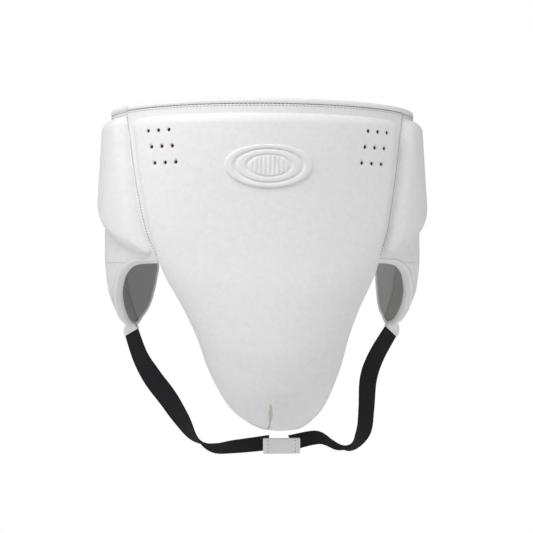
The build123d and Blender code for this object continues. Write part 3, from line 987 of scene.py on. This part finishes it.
def stitchTree():
    # stitches laid end to end along every line of a piece
    tree = bpy.data.node_groups.new("stitchRow", "GeometryNodeTree")
    face = tree.interface
    face.new_socket("Geometry", in_out="INPUT", socket_type="NodeSocketGeometry")
    for label, value in stitch.items():
        socket = face.new_socket(label, in_out="INPUT", socket_type="NodeSocketFloat")
        socket.default_value = value * mm
    face.new_socket("Thread", in_out="INPUT", socket_type="NodeSocketMaterial")
    face.new_socket("Geometry", in_out="OUTPUT", socket_type="NodeSocketGeometry")
    given = addNode(tree, "NodeGroupInput").outputs
    path = addNode(tree, "GeometryNodeMeshToCurve", None, None, {"Mesh": given["Geometry"]})
    pitch = addNode(tree, "ShaderNodeMath", {"operation": "ADD"}, None,
                    {0: given["Stitch Length"], 1: given["Gap"]})
    spots = addNode(tree, "GeometryNodeCurveToPoints", {"mode": "LENGTH"}, None,
                    {"Curve": path.outputs["Curve"], "Length": pitch.outputs[0]})
    turn = addNode(tree, "FunctionNodeAlignRotationToVector", {"axis": "X"}, None,
                   {"Vector": spots.outputs["Tangent"]})
    half = addNode(tree, "ShaderNodeMath", {"operation": "MULTIPLY"}, {1: 0.5}, {0: given["Stitch Length"]})
    uneven = addNode(tree, "FunctionNodeRandomValue", {"data_type": "FLOAT"},
                     {"Min": 0.88, "Max": 1.06, "Seed": 7})
    length = addNode(tree, "ShaderNodeMath", {"operation": "MULTIPLY"}, None,
                     {0: half.outputs[0], 1: uneven.outputs["Value"]})
    size = addNode(tree, "ShaderNodeCombineXYZ", None, None,
                   {"X": length.outputs[0], "Y": given["Radius"], "Z": given["Radius"]})
    shape = addNode(tree, "GeometryNodeMeshUVSphere", None, {"Segments": 6, "Rings": 5, "Radius": 1.0})
    sewn = addNode(tree, "GeometryNodeInstanceOnPoints", None, None,
                   {"Points": spots.outputs["Points"], "Instance": shape.outputs["Mesh"],
                    "Rotation": turn.outputs["Rotation"], "Scale": size.outputs["Vector"]})
    real = addNode(tree, "GeometryNodeRealizeInstances", None, None, {"Geometry": sewn.outputs["Instances"]})
    rounded = addNode(tree, "GeometryNodeSetShadeSmooth", None, None, {"Geometry": real.outputs["Geometry"]})
    coloured = addNode(tree, "GeometryNodeSetMaterial", None, None,
                       {"Geometry": rounded.outputs["Geometry"], "Material": given["Thread"]})
    addNode(tree, "NodeGroupOutput", None, None, {0: coloured.outputs["Geometry"]})
    return tree


stitchRow = stitchTree()


def sewLines(name, lines, material, **sizes):
    # one piece of stitches along several lines of points
    verts, edges = [], []
    for line in lines:
        first = len(verts)
        verts += [tuple(np.asarray(p, float) * mm) for p in line]
        edges += [(first + i, first + i + 1) for i in range(len(line) - 1)]
    mesh = bpy.data.meshes.new(name)
    mesh.from_pydata(verts, edges, [])
    piece = placed(name, mesh)
    rows = piece.modifiers.new("stitches", "NODES")
    rows.node_group = stitchRow
    wanted = {"Stitch Length": sizes.get("length"), "Gap": sizes.get("gap"), "Radius": sizes.get("radius")}
    for item in stitchRow.interface.items_tree:
        if item.in_out == "INPUT" and item.name == "Thread":
            rows[item.identifier] = material
        elif item.in_out == "INPUT" and wanted.get(item.name):
            rows[item.identifier] = wanted[item.name] * mm
    applyModifiers(piece)
    return piece


def frontLine(us, ts, out):
    us, ts = np.broadcast_arrays(np.asarray(us, float), np.asarray(ts, float))
    return frontPoints(us, ts, np.broadcast_to(np.asarray(out, float), us.shape))


def frontStitches():
    top = (0.9 - body["rimTop"] + 1.6) / 18.5
    lines = [frontLine(np.linspace(-0.985, 0.985, 160), top, front["stripOut"] + 0.3)]
    return sewLines("frontStitches", lines, greyThread, length=2.4, gap=1.4)


def frontWaistShadeCord():
    # a continuous dark cord in the groove between the waist binding and the flat strip below it: painted
    # shade standing in for the groove's shadow line
    line = frontLine(np.linspace(-0.995, 0.995, 200), 7.6 / 18.5, 1.5)
    return sewLines("waistShadeCord", [line], seamAndShadeThread, length=5.0, gap=-0.6, radius=0.55)


def dartStitches():
    # down the crease that shapes the bottom of the cup
    rows = np.linspace(front["dartTop"] + 0.3, front["dartEnd"] - 0.4, 40)
    section = smoothSteps(frontSections, rows)
    end = np.radians(section[:, 5])
    us = np.arcsin((front["dartX"] - section[:, 6]) * np.sin(end) / section[:, 2]) / end
    inCrease = front["cupOut"] - front["dartDepth"] + 0.5
    line = frontLine(us, rows, inCrease)
    return sewLines("dartStitches", [line], seamAndShadeThread, length=2.2, gap=0.7, radius=0.4)


def wingStitches(hand, side):
    rim = flatOutline(hand)[2]
    along = np.gradient(rim, axis=0)
    along /= np.linalg.norm(along, axis=1, keepdims=True)
    inner = rim + np.column_stack([-along[:, 1], along[:, 0]]) * 6.5
    keep = (inner[:, 1] < -178) | (inner[:, 0] > arcOf(30))
    inner = inner[keep & (inner[:, 1] < -12)]
    frontEdge = flatOutline(hand)[0]
    topRow = np.linspace(arcOf(-55), rim[-1, 0] - 5, 90)
    seamRow = np.linspace(-10, -166, 110)
    seamS = np.interp(-seamRow, -frontEdge[:, 1], frontEdge[:, 0]) + 0.8
    lines = [wingPoints(topRow, -10.2, wing["out"] + 0.3, side),
             wingPoints(inner[:, 0], inner[:, 1], wing["out"] - 0.1, side)]
    seams = [wingPoints(seamS, seamRow, wing["out"] + 0.2, side)]
    # a continuous dark cord in the groove under the wing's waist binding: painted shade for its shadow line
    waist = [wingPoints(topRow, -7.6, 1.5, side)]
    return (sewLines(f"wingStitches_{hand}", lines, greyThread, length=2.6, gap=1.5),
            sewLines(f"seamStitches_{hand}", seams, seamAndShadeThread, length=2.0, gap=1.4, radius=0.5),
            sewLines(f"waistShadeCord_{hand}", waist, seamAndShadeThread, length=5.0, gap=-0.6, radius=0.55))


def closureStitches():
    # a box of stitches where the flap is sewn to its base, and a row round the flap's edge
    def row(x0, x1, z, out):
        line = np.array(waistRoute(x0, x1, out, 40))[:, :3]
        line[:, 2] = z
        return line
    low, high = closure["middle"] - 18.5, closure["middle"] + 18.5
    flapRows = [row(-72, 29, low, 2.6), row(-72, 29, high, 2.6)]
    tall = closure["middle"] - 24.5, closure["middle"] + 24.5
    baseRows = [row(34, 59, tall[0], 2.5), row(34, 59, tall[1], 2.5)]
    for x in (34, 59):
        foot = np.array(waistRoute(x, x + 0.01, 2.5, 2))[0, :3]
        baseRows.append([(foot[0], foot[1], z) for z in np.linspace(tall[0], tall[1], 20)])
    return (sewLines("flapStitches", flapRows, greyThread, length=2.6, gap=1.4),
            sewLines("baseStitches", baseRows, greyThread, length=2.6, gap=1.4))


def tabStitches():
    # two short rows across the crotch tab, over the ends of the straps
    face = crotch["y"] - crotch["thickness"] / 2 - 0.1
    rows = []
    for x in (crotch["x"] - 15, crotch["x"] + 15):
        rows.append([(x, face, crotch["z"] + h) for h in np.linspace(-6, 6, 9)])
    return sewLines("tabStitches", rows, greyThread, length=2.2, gap=1.2)


flapRow, baseRow = closureStitches()
stitches = {"front": [frontStitches(), dartStitches(), frontWaistShadeCord(), tabStitches()],
            "left": wingStitches("left", -1), "right": wingStitches("right", 1)}
print("stitched")

view = {"lens": 70.8, "distance": 1100.0, "frontY": -130.0, "yaw": 3.0, "height": -179.0, "aimX": -2.6}
studio = {
    "ambient": 0.36,
    "lights": {  # place, size in metres and watts
        "key": ((-0.3, -0.55, 0.62), (0.9, 0.6), 5.6),
        "sideLeft": ((-1.3, -0.5, 0.3), (0.8, 0.8), 3.2),
        "sideRight": ((1.3, -0.5, 0.3), (0.8, 0.8), 3.2),
    },
}


def makeCamera():
    data = bpy.data.cameras.new("camera")
    data.lens = view["lens"]
    data.sensor_width = 36.0
    camera = placed("camera", data)
    yaw = math.radians(view["yaw"])
    aim = Vector((view["aimX"], view["frontY"], view["height"])) * mm
    camera.location = aim - Vector((math.sin(yaw), math.cos(yaw), 0)) * view["distance"] * mm
    camera.rotation_euler = (math.pi / 2, 0, -yaw)
    bpy.context.scene.camera = camera


def makeLight(name, place, size, power):
    data = bpy.data.lights.new(name, "AREA")
    data.shape = "RECTANGLE"
    data.size, data.size_y = size
    data.energy = power
    lamp = placed(name, data)
    lamp.location = place
    aim = Vector((0, -0.05, -0.17))
    lamp.rotation_euler = (aim - Vector(place)).to_track_quat("-Z", "Y").to_euler()


def makeStage():
    # a round pale floor well below the object, its rim as white as the background
    reach, low = 1.15, -0.8
    turns = np.linspace(0, 2 * math.pi, 97)[:-1]
    mesh = bpy.data.meshes.new("floor")
    mesh.from_pydata([(reach * math.cos(a), reach * math.sin(a), low) for a in turns], [], [tuple(range(96))])
    material, tree, shader = newMaterial("matt studio paper", "#FFFFFF", 0.9, 0.0, 0.1)
    shader.inputs["Emission Color"].default_value = srgb("#FFFFFF")
    place = addNode(tree, "ShaderNodeTexCoord")
    away = addNode(tree, "ShaderNodeVectorMath", {"operation": "LENGTH"}, None, {0: place.outputs["Object"]})
    far = addNode(tree, "ShaderNodeMapRange", None, {"From Min": 0.95, "From Max": 1.38, "To Max": 1.0},
                  {"Value": away.outputs["Value"]})  # lit paper all round, plain paper under the object
    tree.links.new(far.outputs["Result"], shader.inputs["Emission Strength"])
    mesh.materials.append(material)
    placed("floor", mesh)


makeCamera()
makeStage()
for name, (place, size, power) in studio["lights"].items():
    makeLight(name, place, size, power)
world = bpy.data.worlds.new("studio")
bpy.context.scene.world = world
world.use_nodes = True
ambient = world.node_tree.nodes["Background"]
ambient.inputs["Color"].default_value = srgb("#FFFFFF")
rays = addNode(world.node_tree, "ShaderNodeLightPath")
seen = addNode(world.node_tree, "ShaderNodeMapRange", None, {"To Min": studio["ambient"], "To Max": 1.0},
               {"Value": rays.outputs["Is Camera Ray"]})  # white to look at, dim as a light
world.node_tree.links.new(seen.outputs["Result"], ambient.inputs["Strength"])
bpy.context.scene.view_settings.view_transform = "Standard"

# the hard cup and its foams keep their CAD shape, under the cover
cadFinish = {"cup_shell": cupPlastic, "cup_foam": paleFoam, "cup_cushion": paleFoam}
for node, material in cadFinish.items():
    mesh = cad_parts[node].data
    mesh.materials.clear()
    mesh.materials.append(material)

# what moves with what
for piece, nodes, slot in (
        (frontCover, ("belly_cover", "cup_cover", "front_waistband"), "white_microfibre"),
        (bellyFoam, ("belly_foam",), "impact_foam"),
        (frontLining, ("front_lining",), "grey_lining"),
        (frontBinding, ("front_binding",), "binding_leather"),
        (crotchTab, ("crotch_tab",), "binding_leather"),
        (badgePiece, ("badge",), "badge_leather")):
    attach(piece, "front")
    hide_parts(*nodes)
for piece, rider, node, slot in backPieces.values():
    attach(piece, rider)
    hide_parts(node)
for row in stitches["front"]:
    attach(row, "front")
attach(flapRow, "closure")
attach(baseRow, "wing_right")


def bendAtSeam(piece):
    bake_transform(piece)


for hand, side in (("left", -1), ("right", 1)):
    parts = wings[hand]
    for key, nodes, slot in (
            ("cover", ["wing_cover", "wing_foam"], "white_microfibre"),
            ("lining", ["wing_lining"], "grey_lining"),
            ("edge", ["edge_binding"], "binding_leather"),
            ("pad", ["hip_cover", "hip_foam"], "white_microfibre"),
            ("binding", ["wing_binding"], "binding_leather")):
        bendAtSeam(parts[key])
        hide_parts(*[f"{node}_{hand}" for node in nodes])
    for row in stitches[hand]:
        bendAtSeam(row)
    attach(tabPieces[hand], f"wing_{hand}")
    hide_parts(f"strap_tab_{hand}")
    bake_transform(strapPieces[hand])
    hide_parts(f"leg_strap_{hand}")
